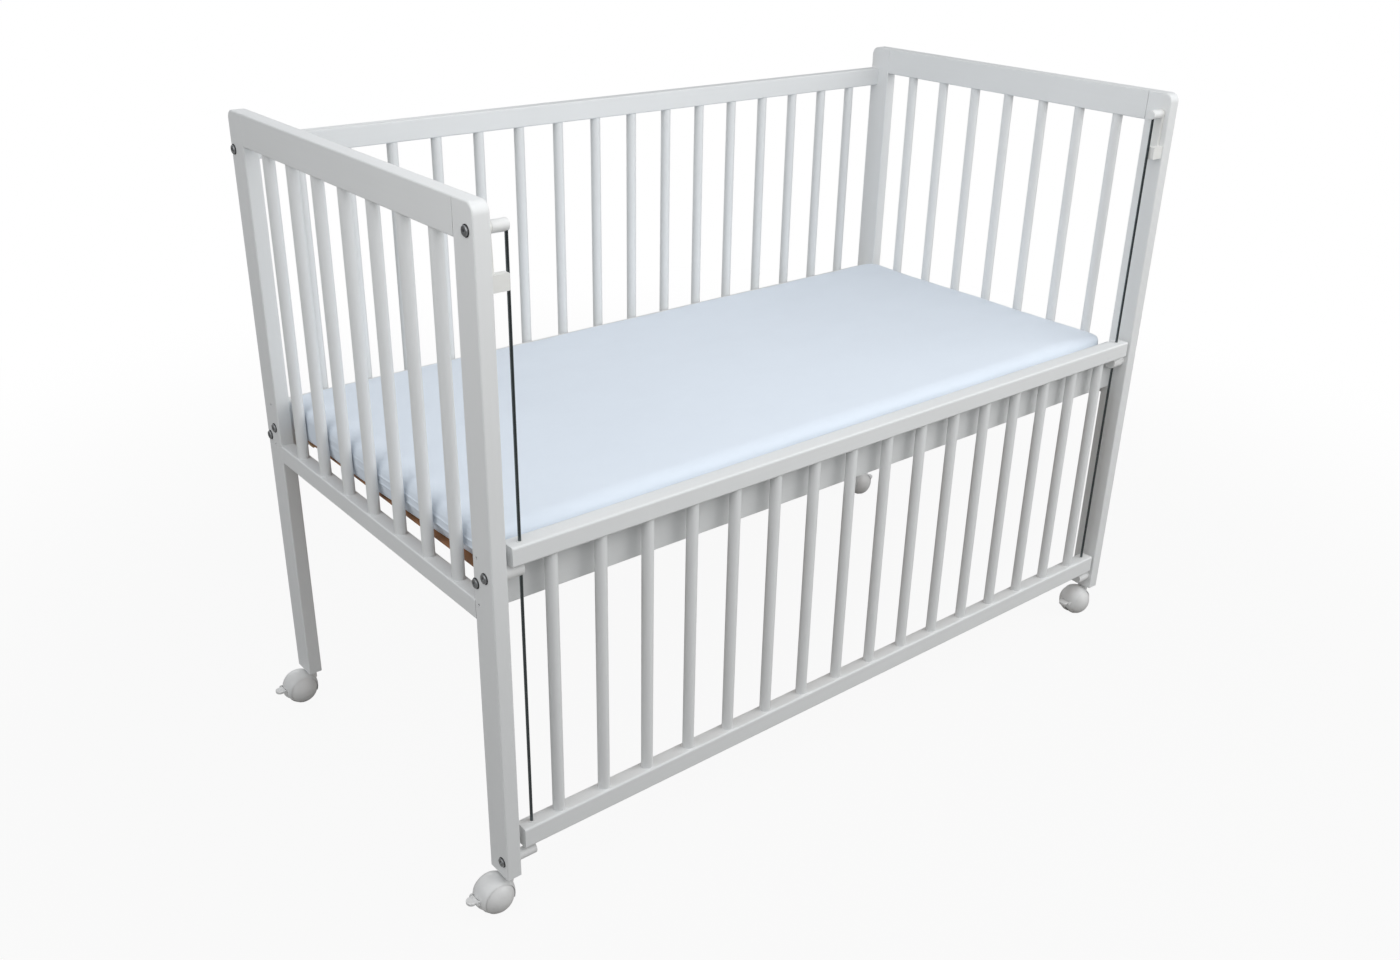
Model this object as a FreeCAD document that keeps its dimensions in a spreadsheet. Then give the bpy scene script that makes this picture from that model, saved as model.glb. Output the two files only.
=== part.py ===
import FreeCAD, Part
import os
import re
import Sketcher

# Bedside cot with a drop side on two steel guide rods, four braked ball casters,
# a bed base hung between two side boards and a foam mattress. Millimetres, +Z up.
# The origin lies on the floor under the middle; X runs along the cot and the drop
# side is at -Y. The side is drawn lowered, resting on the middle pegs.

os.makedirs("parts", exist_ok=True)
doc = FreeCAD.newDocument("BedsideCot")
sheet = doc.addObject("Spreadsheet::Sheet", "sizes")

driving_sizes = {
    # whole frame
    "length": 1250, "width": 634, "caster_height": 53,
    # posts
    "post_tall": 872, "post_thick": 21, "post_deep": 42, "corner_round": 13, "edge_round": 2,
    # end panels
    "end_top_tall": 44, "end_bottom_tall": 27, "end_bottom_lift": 369.5,
    "end_spindles": 7, "end_row_inset": 55.4,
    # spindles and their tenons
    "spindle_dia": 16, "tenon_dia": 10, "tenon_long": 12, "tenon_play": 0.1,
    "side_spindles": 16, "side_row_inset": 66.25,
    # rear panel
    "rear_rail_tall": 30, "rear_rail_deep": 18, "rear_top_drop": 37, "rear_bottom_lift": 389,
    # side boards that carry the bed base
    "board_lift": 385, "board_tall": 75, "board_thick": 18, "board_setback": 27.5, "board_gap": 0.5,
    "board_bolt_rise": 36, "pin_top_inset": 4.2, "pin_low_inset": 8.2, "pin_shift": 4,
    # bed base
    "ledge_tall": 12, "ledge_deep": 15, "ledge_short": 24, "slat_thick": 15, "slat_wide": 50,
    "slats": 7, "slat_inset": 44, "panel_thick": 3, "panel_play": 4, "panel_side_play": 0.5,
    # mattress
    "pad_tall": 58, "pad_play": 0.8, "pad_end_play": 1.5, "pad_corner": 24, "pad_draw": 2,
    "pad_crown": 2, "soft_gap": 0.3,
    # drop side
    "drop_tall": 435, "drop_top_tall": 26, "drop_bottom_tall": 30, "drop_deep": 23,
    "drop_end_gap": 7.8, "drop_round": 3, "drop_foot_lift": 37.4, "seat_gap": 0.3,
    # guide rods, bushes and the pegs that hold the rods
    "rod_dia": 4, "rod_inset": 24.5, "rod_fit": 0.05, "bush_fit": 0.08, "bush_wall": 1,
    "bush_flange": 1.2, "bush_flange_thick": 0.6, "bush_play": 0.05,
    "peg_long": 27.5, "mid_peg_dia": 20, "mid_peg_back": 16,
    "foot_peg_dia": 15, "foot_peg_lift": 23.5, "foot_seat": 5,
    "head_peg_dia": 14.5, "head_peg_back": 14.5, "head_peg_drop": 31, "head_seat": 4,
    "boss_dia": 9.5, "boss_long": 6.2,
    "peg_round": 1.5,
    # catches that hold the raised side
    "catch_gap": 0.3, "catch_fit": 0.08, "catch_eye_dia": 14.5, "catch_arm_wide": 13,
    "catch_top_thick": 3.9, "catch_low_thick": 5.6, "ledge_drop": 48, "ledge_block": 19,
    "ledge_reach": 21, "ledge_front": 12.5, "block_deep": 10, "catch_round": 1,
    # bolts, washers, barrel nuts, pins and dowels
    "bolt_dia": 6, "bolt_play": 0.25, "head_dia": 12, "head_tall": 2, "head_round": 0.8,
    "key_wide": 5, "key_deep": 1.4, "washer_dia": 14, "washer_thick": 0.8, "peg_bolt_long": 38,
    "rail_bolt_long": 56, "nut_dia": 10, "nut_long": 15, "nut_inset": 25, "nut_play": 0.05,
    "pin_dia": 4, "pin_long": 26, "pin_sunk": 2, "pin_play": 0.05,
    "dowel_dia": 8, "dowel_long": 34, "dowel_in_post": 15, "dowel_play": 0.05,
    "top_dowel_spread": 12, "low_dowel_spread": 5.5, "low_dowel_shift": 2.5,
    # casters
    "wheel_dia": 49, "wheel_trail": 20, "hood_ball": 27.5, "hood_wall": 1.4, "wheel_gap": 0.35,
    "web_half": 2.6, "wheel_side_gap": 0.4, "wheel_half_span": 22.5,
    "cap_dia": 43.4, "cap_gap": 0.4, "cap_sunk": 1.1, "skirt_lift": 17,
    "swivel_boss_dia": 17, "swivel_gap": 0.5,
    "axle_dia": 5, "axle_fit": 0.05, "axle_short": 4,
    "stem_dia": 8, "stem_seat": 5.3, "stem_in_leg": 30, "stem_fit": 0.08,
    "socket_dia": 11, "socket_long": 31, "socket_flange_dia": 17, "socket_flange": 1.2,
    "socket_play": 0.05, "socket_room": 1,
    "lever_axis_out": 27.6, "lever_rise": 4, "lever_barrel_dia": 5, "lever_half": 7.5,
    "lever_thick": 4, "lever_reach": 10, "lever_round": 7, "lever_edge": 0.8, "lever_gap": 0.3,
    "trunnion_dia": 2.4,
    "trunnion_long": 1.8, "ear_dia": 6.8, "ear_thick": 2, "window_deep": 9,
}

for row, (alias, value) in enumerate(driving_sizes.items(), start=1):
    sheet.set(f"A{row}", alias.replace("_", " "))
    sheet.set(f"B{row}", str(value))
    sheet.setAlias(f"B{row}", alias)
doc.recompute()


def cells(expression):
    """Put sizes. before every alias in an expression, so that the text stays short."""
    def named(found):
        return "sizes." + found[0] if found[0] in driving_sizes else found[0]
    return re.sub(r"[a-z][a-z_]*", named, expression)


def sheet_value(expression):
    """The value that an expression of the sizes has now."""
    return float(sheet.evalExpression(cells(expression)))


# ---- places that several pieces share, as expressions of the driving sizes ----
inner_x = "(length / 2 - post_thick)"
post_x = "(length / 2 - post_thick / 2)"
post_y = "(width / 2 - post_deep / 2)"
clear_long = "(length - 2 * post_thick)"
clear_wide = "(width - 2 * post_deep)"
rear_top_lift = "(post_tall - rear_top_drop)"
end_pitch = f"(({clear_wide} - 2 * end_row_inset) / (end_spindles - 1))"
side_pitch = f"(({clear_long} - 2 * side_row_inset) / (side_spindles - 1))"
end_span = "(post_tall - end_top_tall - end_bottom_lift - end_bottom_tall)"
rear_span = f"({rear_top_lift} - rear_bottom_lift - 2 * rear_rail_tall)"
drop_span = "(drop_tall - drop_top_tall - drop_bottom_tall)"
rod_x = "(length / 2 - post_thick - rod_inset)"
rod_back = "(drop_deep / 2)"
# the lowered side hangs with its top rail on the middle pegs, just clear of the foot pegs
mid_peg_lift = "(drop_foot_lift + drop_tall - drop_top_tall - seat_gap - mid_peg_dia / 2)"
head_lift = "(post_tall - head_peg_drop)"
rear_board_back = "(rear_rail_deep + board_gap)"
bolt_lift = "(board_lift + board_bolt_rise)"
base_top = "(board_lift + ledge_tall + slat_thick + panel_thick)"
wheel_ball = "(hood_ball - hood_wall - wheel_gap)"
boss_top = "(caster_height - socket_flange - swivel_gap)"


def bind(piece, **expressions):
    """Bind properties, written with __ for a dot, to expressions of the sizes."""
    for path, expression in expressions.items():
        piece.setExpression(path.replace("__", "."), cells(expression))


def place(piece, x="0", y="0", z="0"):
    bind(piece, Placement__Base__x=x, Placement__Base__y=y, Placement__Base__z=z)
    return piece


# ---- sketches ----
def sketch_on(body, role, offset=None):
    plane = next(item for item in body.Origin.OriginFeatures if item.Role == role)
    sketch = body.newObject("Sketcher::SketchObject", body.Name + "_sketch")
    sketch.AttachmentSupport = (plane, [""])
    sketch.MapMode = "FlatFace"
    if offset:
        bind(sketch, AttachmentOffset__Base__z=offset)
    return sketch


def measure(sketch, kind, where, expression):
    """Add one dimension to a sketch and bind it."""
    index = sketch.addConstraint(Sketcher.Constraint(kind, *where, sheet_value(expression)))
    name = f"{kind}_{index}"
    sketch.renameConstraint(index, name)
    sketch.setExpression("Constraints." + name, cells(expression))


def draw_outline(sketch, corners):
    """Draw a closed outline whose corners are pairs of expressions."""
    first = sketch.GeometryCount
    count = len(corners)
    for number, (across, up) in enumerate(corners):
        start = FreeCAD.Vector(sheet_value(across), sheet_value(up), 0)
        following = corners[(number + 1) % count]
        end = FreeCAD.Vector(sheet_value(following[0]), sheet_value(following[1]), 0)
        sketch.addGeometry(Part.LineSegment(start, end))
    for number in range(count):
        line = first + number
        following = first + (number + 1) % count
        sketch.addConstraint(Sketcher.Constraint("Coincident", line, 2, following, 1))
    for line, (across, up) in enumerate(corners, start=first):
        measure(sketch, "DistanceX", (-1, 1, line, 1), across)
        measure(sketch, "DistanceY", (-1, 1, line, 1), up)


def draw_rectangle(sketch, wide, tall):
    left, low = f"-({wide}) / 2", f"-({tall}) / 2"
    right, high = f"({wide}) / 2", f"({tall}) / 2"
    draw_outline(sketch, [(left, low), (right, low), (right, high), (left, high)])


def draw_circle(sketch, dia, across="0", up="0"):
    centre = FreeCAD.Vector(sheet_value(across), sheet_value(up), 0)
    circle = Part.Circle(centre, FreeCAD.Vector(0, 0, 1), sheet_value(dia) / 2)
    index = sketch.addGeometry(circle)
    measure(sketch, "Diameter", (index,), dia)
    measure(sketch, "DistanceX", (-1, 1, index, 3), across)
    measure(sketch, "DistanceY", (-1, 1, index, 3), up)


# ---- features ----
def new_body(label):
    body = doc.addObject("PartDesign::Body", label)
    body.Label = label
    return body


def pad(body, sketch, length, both_ways=False, reverse=False):
    feature = body.newObject("PartDesign::Pad", body.Name + "_pad")
    feature.Profile = sketch
    feature.SideType = "Symmetric" if both_ways else "One side"
    feature.Reversed = reverse
    bind(feature, Length=length)
    doc.recompute()
    return feature


def pocket(body, sketch, length, both_ways=False, reverse=False):
    """Cut a sketch out of a body and make sure that something was cut."""
    before = body.Shape.Volume
    feature = body.newObject("PartDesign::Pocket", body.Name + "_pocket")
    feature.Profile = sketch
    feature.SideType = "Symmetric" if both_ways else "One side"
    feature.Reversed = reverse
    bind(feature, Length=length)
    doc.recompute()
    if body.Shape.Volume >= before:
        raise ValueError(f"{feature.Name} cuts nothing")
    return feature


def repeat(body, feature, sketch, direction, length, copies):
    pattern = body.newObject("PartDesign::LinearPattern", body.Name + "_row")
    pattern.Originals = [feature]
    pattern.Direction = (sketch, [direction])
    bind(pattern, Length=length, Occurrences=copies)
    body.Tip = pattern
    doc.recompute()
    return pattern


def soften(body, radius, wanted):
    """Fillet the edges of a body's last feature for which wanted(edge) is true."""
    feature = body.Tip
    names = [f"Edge{number}" for number, edge in enumerate(feature.Shape.Edges, start=1)
             if wanted(edge)]
    fillet = body.newObject("PartDesign::Fillet", body.Name + "_round")
    fillet.Base = (feature, names)
    bind(fillet, Radius=radius)
    doc.recompute()
    return fillet


def runs_along(edge, axis):
    """True for a straight edge that lies along axis 0, 1 or 2."""
    start, end = edge.Vertexes[0].Point, edge.Vertexes[-1].Point
    step = end - start
    others = [abs(step[other]) for other in range(3) if other != axis]
    return edge.Curve.TypeId == "Part::GeomLine" and max(others) < 1e-6


def is_round(edge):
    return edge.Curve.TypeId == "Part::GeomCircle"


def bar(label, axis, long, wide, tall, radius="edge_round"):
    """A rail or board centred on its body's origin, its long edges softened."""
    role = {0: "YZ_Plane", 1: "XZ_Plane"}[axis]
    body = new_body(label)
    sketch = sketch_on(body, role)
    draw_rectangle(sketch, wide, tall)
    pad(body, sketch, long, both_ways=True)
    soften(body, radius, lambda edge: runs_along(edge, axis))
    return body


def drill_row(body, axis, level, from_above, pitch, copies):
    """Blind tenon holes in a row along a rail, from its upper or lower face."""
    sketch = sketch_on(body, "XY_Plane", level)
    first = f"-({pitch}) * ({copies} - 1) / 2"
    along = [("0", first), (first, "0")][axis == 0]
    draw_circle(sketch, "tenon_dia + 2 * tenon_play", *along)
    hole = pocket(body, sketch, "tenon_long + tenon_play", reverse=not from_above)
    direction = "H_Axis" if axis == 0 else "V_Axis"
    repeat(body, hole, sketch, direction, f"{pitch} * ({copies} - 1)", copies)


def drill_ends(body, role, half_long, depth, dia, spots):
    """The same blind holes in both ends of a rail."""
    for side, reverse in (("", False), ("-", True)):
        sketch = sketch_on(body, role, f"{side}({half_long})")
        for across, up in spots:
            draw_circle(sketch, dia, across, up)
        pocket(body, sketch, depth, reverse=reverse)


def mirrored(label, source):
    """The right-hand twin of a left-hand piece."""
    twin = doc.addObject("Part::Mirroring", label)
    twin.Source = source
    twin.Normal = FreeCAD.Vector(1, 0, 0)
    twin.Label = label
    return twin


def group(label, members):
    compound = doc.addObject("Part::Compound", label)
    compound.Links = members
    compound.Label = label
    return compound


def copies_of(source, spots):
    """Links to one piece, each at a spot given as three expressions."""
    links = []
    for spot in spots:
        link = doc.addObject("App::Link", source.Name + "_copy")
        link.LinkedObject = source
        link.Placement = source.Placement
        links.append(place(link, *spot))
    return links


def cylinder(name, dia, long, spot=("0", "0", "0"), axis="z"):
    """A cylinder that starts at spot and runs along +x, +y or +z."""
    turns = {"x": FreeCAD.Rotation(FreeCAD.Vector(0, 1, 0), 90),
             "y": FreeCAD.Rotation(FreeCAD.Vector(1, 0, 0), -90),
             "z": FreeCAD.Rotation()}
    piece = doc.addObject("Part::Cylinder", name)
    piece.Placement = FreeCAD.Placement(FreeCAD.Vector(), turns[axis])
    bind(piece, Radius=f"({dia}) / 2", Height=long)
    return place(piece, *spot)


def sphere(name, radius, spot):
    piece = doc.addObject("Part::Sphere", name)
    bind(piece, Radius=radius)
    return place(piece, *spot)


def box(name, size, spot):
    """A box given by its three sizes and its lowest corner."""
    piece = doc.addObject("Part::Box", name)
    bind(piece, Length=size[0], Width=size[1], Height=size[2])
    return place(piece, *spot)


def fuse(name, pieces):
    result = doc.addObject("Part::MultiFuse", name)
    result.Shapes = pieces
    return result


def common(name, pieces):
    result = doc.addObject("Part::MultiCommon", name)
    result.Shapes = pieces
    return result


def cut(name, base, tools):
    """Cut one tool, or several at once, from a base."""
    result = doc.addObject("Part::Cut", name)
    result.Base = base
    result.Tool = tools[0] if len(tools) == 1 else fuse(name + "_tools", tools)
    return result


nodes = []


def keep(piece):
    """Mark a piece as one that is written out, under its label."""
    nodes.append(piece)
    return piece


def keep_pair(left, right_label):
    keep(left)
    keep(mirrored(right_label, left))


# ---- posts ----
# A post's own origin is the middle of its foot. Its outward side is -Y on a front
# post and +Y on a rear one; holes are given as (distance from that side, lift).
front_holes = [("head_peg_back", head_lift), ("mid_peg_back", mid_peg_lift),
               (rod_back, "foot_peg_lift"), ("board_setback + board_thick / 2", bolt_lift)]
rear_holes = [("rear_rail_deep / 2", f"{rear_top_lift} - rear_rail_tall / 2"),
              ("rear_rail_deep / 2", "rear_bottom_lift + rear_rail_tall / 2"),
              (f"{rear_board_back} + board_thick / 2", bolt_lift)]


def pin_spots(back):
    """Two locating pins near a board's upper and lower edge, closer to its outer face."""
    across = f"{back} + board_thick / 2 - pin_shift"
    return [(across, "board_lift + board_tall - pin_top_inset"), (across, "board_lift + pin_low_inset")]


front_pins = pin_spots("board_setback")
rear_pins = pin_spots(rear_board_back)
# dowels above and below a rail's middle; the lower rail's stay clear of the side board's pins
top_dowels = ["top_dowel_spread", "-top_dowel_spread"]
low_dowels = ["low_dowel_spread - low_dowel_shift", "-low_dowel_spread - low_dowel_shift"]
dowel_lifts = ([f"post_tall - end_top_tall / 2 + {rise}" for rise in top_dowels]
               + [f"end_bottom_lift + end_bottom_tall / 2 + {rise}" for rise in low_dowels])


def post(label, outward, bolt_holes, pin_holes):
    """A left-hand post: outward is - for a front post and + for a rear one."""
    inward = "+" if outward == "-" else "-"
    outer_face = f"{outward}post_deep / 2"
    body = new_body(label)
    outline = sketch_on(body, "YZ_Plane")
    half = "post_deep / 2"
    draw_outline(outline, [(f"-{half}", "0"), (half, "0"), (half, "post_tall"),
                           (f"-{half}", "post_tall")])
    pad(body, outline, "post_thick", both_ways=True)
    sign = -1 if outward == "-" else 1
    soften(body, "corner_round", lambda edge: runs_along(edge, 0)
           and edge.CenterOfMass.y * sign > 0 and edge.CenterOfMass.z > 1)
    soften(body, "edge_round", lambda edge: abs(edge.CenterOfMass.x) > 1
           and edge.CenterOfMass.z > 1)
    holes = sketch_on(body, "YZ_Plane")
    for back, lift in bolt_holes:
        draw_circle(holes, "bolt_dia + 2 * bolt_play", f"{outer_face} {inward} ({back})", lift)
    for back, lift in pin_holes:
        draw_circle(holes, "pin_dia + 2 * pin_play", f"{outer_face} {inward} ({back})", lift)
    pocket(body, holes, "2 * post_thick", both_ways=True)
    # a sketch on XZ faces -Y, so its offset counts towards -Y
    dowels = sketch_on(body, "XZ_Plane", f"{outward}post_deep / 2")
    for lift in dowel_lifts:
        draw_circle(dowels, "dowel_dia + 2 * dowel_play", "0", lift)
    pocket(body, dowels, "dowel_in_post", reverse=outward == "-")
    bore = sketch_on(body, "XY_Plane")
    draw_circle(bore, "socket_dia + 2 * socket_play")
    pocket(body, bore, "socket_long + socket_room", reverse=True)
    return place(body, f"-{post_x}", f"{outward}{post_y}", "caster_height")


front_post = post("left_front_post", "-", front_holes, front_pins)
rear_post = post("left_rear_post", "+", rear_holes, rear_pins)
keep_pair(front_post, "right_front_post")
keep_pair(rear_post, "right_rear_post")


# ---- end panels ----
def end_rail(label, tall, lift, dowel_rises, level, from_above):
    rail = bar(label, 1, clear_wide, "post_thick", tall)
    drill_row(rail, 1, level, from_above, end_pitch, "end_spindles")
    drill_ends(rail, "XZ_Plane", f"{clear_wide} / 2", "dowel_long - dowel_in_post + dowel_play",
               "dowel_dia + 2 * dowel_play", [("0", rise) for rise in dowel_rises])
    return place(rail, f"-{post_x}", "0", f"caster_height + {lift}")


end_top = end_rail("left_top_rail", "end_top_tall", "post_tall - end_top_tall / 2",
                   top_dowels, "-end_top_tall / 2", False)
end_bottom = end_rail("left_bottom_rail", "end_bottom_tall", "end_bottom_lift + end_bottom_tall / 2",
                      low_dowels, "end_bottom_tall / 2", True)
keep_pair(end_top, "right_top_rail")
keep_pair(end_bottom, "right_bottom_rail")


def spindle(label, span):
    """A turned bar with a tenon at each end; its origin is the middle of its shaft."""
    body = new_body(label)
    tenons = sketch_on(body, "XY_Plane")
    draw_circle(tenons, "tenon_dia")
    pad(body, tenons, f"{span} + 2 * tenon_long", both_ways=True)
    shaft = sketch_on(body, "XY_Plane")
    draw_circle(shaft, "spindle_dia")
    pad(body, shaft, span, both_ways=True)
    return body


def row_steps(count, pitch):
    """Offsets of a row's copies from its middle."""
    copies = round(sheet_value(count))
    return [f"({number} - ({count} - 1) / 2) * {pitch}" for number in range(copies)]


end_spindle = spindle("end_spindle", end_span)
end_middle = f"caster_height + end_bottom_lift + end_bottom_tall + {end_span} / 2"
end_spots = [(f"-{post_x}", step, end_middle) for step in row_steps("end_spindles", end_pitch)]
keep_pair(group("left_end_spindles", copies_of(end_spindle, end_spots)), "right_end_spindles")

dowel = cylinder("panel_dowel", "dowel_dia", "dowel_long", axis="y")
dowel_spots = [(f"-{post_x}", start, f"caster_height + {lift}") for lift in dowel_lifts
               for start in (f"-{clear_wide} / 2 - dowel_in_post + dowel_play",
                             f"{clear_wide} / 2 + dowel_in_post - dowel_play - dowel_long")]
left_dowels = group("left_panel_dowels", copies_of(dowel, dowel_spots))
keep(group("panel_dowels", [left_dowels, mirrored("right_panel_dowels", left_dowels)]))


# ---- rear panel and side boards: rails bolted between the posts ----
def drill_bolts(rail, deep, entry, rise="0"):
    """Bolt bores in both ends, and the holes for their nuts from the face at entry, + or -Y."""
    drill_ends(rail, "YZ_Plane", f"{clear_long} / 2", "rail_bolt_long - post_thick + bolt_play",
               "bolt_dia + 2 * bolt_play", [("0", rise)])
    level = f"-({deep}) / 2" if entry == "+" else f"({deep}) / 2"
    nuts = sketch_on(rail, "XZ_Plane", level)
    for side in "+-":
        draw_circle(nuts, "nut_dia + 2 * nut_play", f"{side}({clear_long} / 2 - nut_inset)", rise)
    pocket(rail, nuts, f"({deep} + nut_long) / 2 + nut_play", reverse=entry == "+")


def rear_rail(label, lift, level, from_above):
    rail = bar(label, 0, clear_long, "rear_rail_deep", "rear_rail_tall")
    drill_row(rail, 0, level, from_above, side_pitch, "side_spindles")
    drill_bolts(rail, "rear_rail_deep", "+")
    return place(rail, "0", "width / 2 - rear_rail_deep / 2", f"caster_height + {lift}")


keep(rear_rail("rear_top_rail", f"{rear_top_lift} - rear_rail_tall / 2", "-rear_rail_tall / 2", False))
keep(rear_rail("rear_bottom_rail", "rear_bottom_lift + rear_rail_tall / 2", "rear_rail_tall / 2",
               True))
rear_spindle = spindle("rear_spindle", rear_span)
rear_middle = f"caster_height + rear_bottom_lift + rear_rail_tall + {rear_span} / 2"
rear_spots = [(step, "width / 2 - rear_rail_deep / 2", rear_middle)
              for step in row_steps("side_spindles", side_pitch)]
keep(group("rear_spindles", copies_of(rear_spindle, rear_spots)))

bolt_rise = "(board_bolt_rise - board_tall / 2)"


def side_board(label, inward, back):
    """A board that carries one edge of the bed base."""
    board = bar(label, 0, clear_long, "board_thick", "board_tall")
    drill_bolts(board, "board_thick", inward, bolt_rise)
    outward = "-" if inward == "+" else "+"
    pins = [(f"{outward}pin_shift", "board_tall / 2 - pin_top_inset"),
            (f"{outward}pin_shift", "pin_low_inset - board_tall / 2")]
    drill_ends(board, "YZ_Plane", f"{clear_long} / 2", "pin_long + pin_sunk - post_thick + pin_play",
               "pin_dia + 2 * pin_play", pins)
    middle = f"{outward}(width / 2 - {back} - board_thick / 2)"
    return place(board, "0", middle, "caster_height + board_lift + board_tall / 2")


keep(side_board("front_side_board", "+", "board_setback"))
keep(side_board("rear_side_board", "-", rear_board_back))

# ---- bed base ----
front_board_face = "(-width / 2 + board_setback + board_thick)"
rear_board_face = f"(width / 2 - {rear_board_back} - board_thick)"
bay_wide = f"({rear_board_face} - {front_board_face})"
bay_middle = f"(({rear_board_face} + {front_board_face}) / 2)"


def ledge(label, middle):
    piece = bar(label, 0, f"{clear_long} - 2 * ledge_short", "ledge_deep", "ledge_tall")
    return place(piece, "0", middle, "caster_height + board_lift + ledge_tall / 2")


keep(ledge("front_ledge", f"{front_board_face} + ledge_deep / 2"))
keep(ledge("rear_ledge", f"{rear_board_face} - ledge_deep / 2"))

slat = bar("slat", 1, f"{bay_wide} - 2 * panel_side_play", "slat_wide", "slat_thick")
slat_pitch = f"({clear_long} - 2 * slat_inset - slat_wide) / (slats - 1)"
slat_lift = "caster_height + board_lift + ledge_tall + slat_thick / 2"
slat_spots = [(step, bay_middle, slat_lift) for step in row_steps("slats", f"({slat_pitch})")]
keep(group("bed_slats", copies_of(slat, slat_spots)))

panel = new_body("base_panel")
panel_sketch = sketch_on(panel, "XY_Plane")
draw_rectangle(panel_sketch, f"{clear_long} - 2 * panel_play", f"{bay_wide} - 2 * panel_side_play")
pad(panel, panel_sketch, "panel_thick")
keep(place(panel, "0", bay_middle, f"caster_height + {base_top} - panel_thick"))


# ---- mattress ----
def cushion_wire(half_long, half_wide, radius, draw, level):
    """A rounded rectangle at one level, its four sides drawn in a little."""
    flat_x, flat_y = half_long - radius, half_wide - radius
    bend_x, bend_y = half_long - radius * (1 - 0.5 ** 0.5), half_wide - radius * (1 - 0.5 ** 0.5)
    arcs = [((half_long, -flat_y), (half_long - draw, 0), (half_long, flat_y)),
            ((half_long, flat_y), (bend_x, bend_y), (flat_x, half_wide)),
            ((flat_x, half_wide), (0, half_wide - draw), (-flat_x, half_wide)),
            ((-flat_x, half_wide), (-bend_x, bend_y), (-half_long, flat_y)),
            ((-half_long, flat_y), (draw - half_long, 0), (-half_long, -flat_y)),
            ((-half_long, -flat_y), (-bend_x, -bend_y), (-flat_x, -half_wide)),
            ((-flat_x, -half_wide), (0, draw - half_wide), (flat_x, -half_wide)),
            ((flat_x, -half_wide), (bend_x, -bend_y), (half_long, -flat_y))]
    edges = []
    for arc in arcs:
        points = [FreeCAD.Vector(across, along, level) for across, along in arc]
        edges.append(Part.Arc(*points).toShape())
    return Part.Wire(edges)


def mattress_shape():
    """Rounded edges below and above a belly, then a low crown."""
    half_long = sheet_value(f"{clear_long} / 2 - pad_end_play")
    half_wide = sheet_value(f"{bay_wide} / 2 - pad_play")
    corner = sheet_value("pad_corner")
    draw = sheet_value("pad_draw")
    crown = sheet_value("pad_crown")
    tall = sheet_value("pad_tall") - crown
    # (inset from the belly, share of the side's height, share of the crown)
    stations = [(7, 0, 0), (2, 0.06, 0), (0.4, 0.16, 0), (0, 0.4, 0), (0, 0.7, 0), (0.6, 0.86, 0),
                (2.4, 0.95, 0), (7, 1, 0), (40, 1, 0.45), (110, 1, 0.8), (190, 1, 1)]
    wires = [cushion_wire(half_long - inset, half_wide - inset, corner, draw,
                          rise * tall + swell * crown) for inset, rise, swell in stations]
    return Part.makeLoft(wires, True, True)


mattress = doc.addObject("Part::Feature", "mattress")
mattress.Shape = mattress_shape()
mattress.Label = "mattress"
keep(place(mattress, "0", bay_middle, f"caster_height + {base_top} + soft_gap"))

# ---- guide rods and the pegs that hold them ----
rod_foot = "caster_height + foot_peg_lift - foot_seat"
rod_long = f"{head_lift} + head_seat - foot_peg_lift + foot_seat"
left_rod = cylinder("left_guide_rod", "rod_dia", rod_long,
                    (f"-{rod_x}", f"-width / 2 + {rod_back}", rod_foot))
keep_pair(left_rod, "right_guide_rod")


def peg(label, dia, back, lift, rod_from, rod_to):
    """A moulded peg that starts on the post's inner face; the rod enters it."""
    body = new_body(label)
    outline = sketch_on(body, "YZ_Plane")
    draw_circle(outline, dia)
    pad(body, outline, "peg_long")
    soften(body, "peg_round", lambda edge: is_round(edge) and edge.CenterOfMass.x > 1)
    bolt = sketch_on(body, "YZ_Plane")
    draw_circle(bolt, "bolt_dia + 2 * rod_fit")
    pocket(body, bolt, "peg_bolt_long - post_thick + rod_fit", reverse=True)
    hole = sketch_on(body, "XY_Plane", rod_to)
    draw_circle(hole, "rod_dia + 2 * rod_fit", "rod_inset", f"{rod_back} - {back}")
    pocket(body, hole, f"{rod_to} - ({rod_from})")
    return place(body, f"-{inner_x}", f"-width / 2 + {back}", f"caster_height + {lift}")


mid_peg = peg("left_middle_peg", "mid_peg_dia", "mid_peg_back", mid_peg_lift,
              "-mid_peg_dia", "mid_peg_dia")
keep(group("middle_pegs", [mid_peg, mirrored("right_middle_peg", mid_peg)]))
foot_peg = peg("left_foot_peg", "foot_peg_dia", rod_back, "foot_peg_lift", "-foot_seat",
               "foot_peg_dia")
keep(group("foot_pegs", [foot_peg, mirrored("right_foot_peg", foot_peg)]))


def head_peg(label):
    """The upper peg: a narrow boss for the catch's eye, then the full round."""
    body = new_body(label)
    boss = sketch_on(body, "YZ_Plane")
    draw_circle(boss, "boss_dia")
    pad(body, boss, "peg_long / 2")
    drum = sketch_on(body, "YZ_Plane", "boss_long")
    draw_circle(drum, "head_peg_dia")
    pad(body, drum, "peg_long - boss_long")
    far = sheet_value("peg_long") - 1
    soften(body, "peg_round", lambda edge: is_round(edge) and edge.CenterOfMass.x > far)
    bolt = sketch_on(body, "YZ_Plane")
    draw_circle(bolt, "bolt_dia + 2 * rod_fit")
    pocket(body, bolt, "peg_bolt_long - post_thick + rod_fit", reverse=True)
    hole = sketch_on(body, "XY_Plane", "-head_peg_dia")
    draw_circle(hole, "rod_dia + 2 * rod_fit", "rod_inset", f"{rod_back} - head_peg_back")
    pocket(body, hole, "head_peg_dia + head_seat + rod_fit", reverse=True)
    return place(body, f"-{inner_x}", "-width / 2 + head_peg_back", f"caster_height + {head_lift}")


keep_pair(head_peg("left_head_peg"), "right_head_peg")


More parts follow.
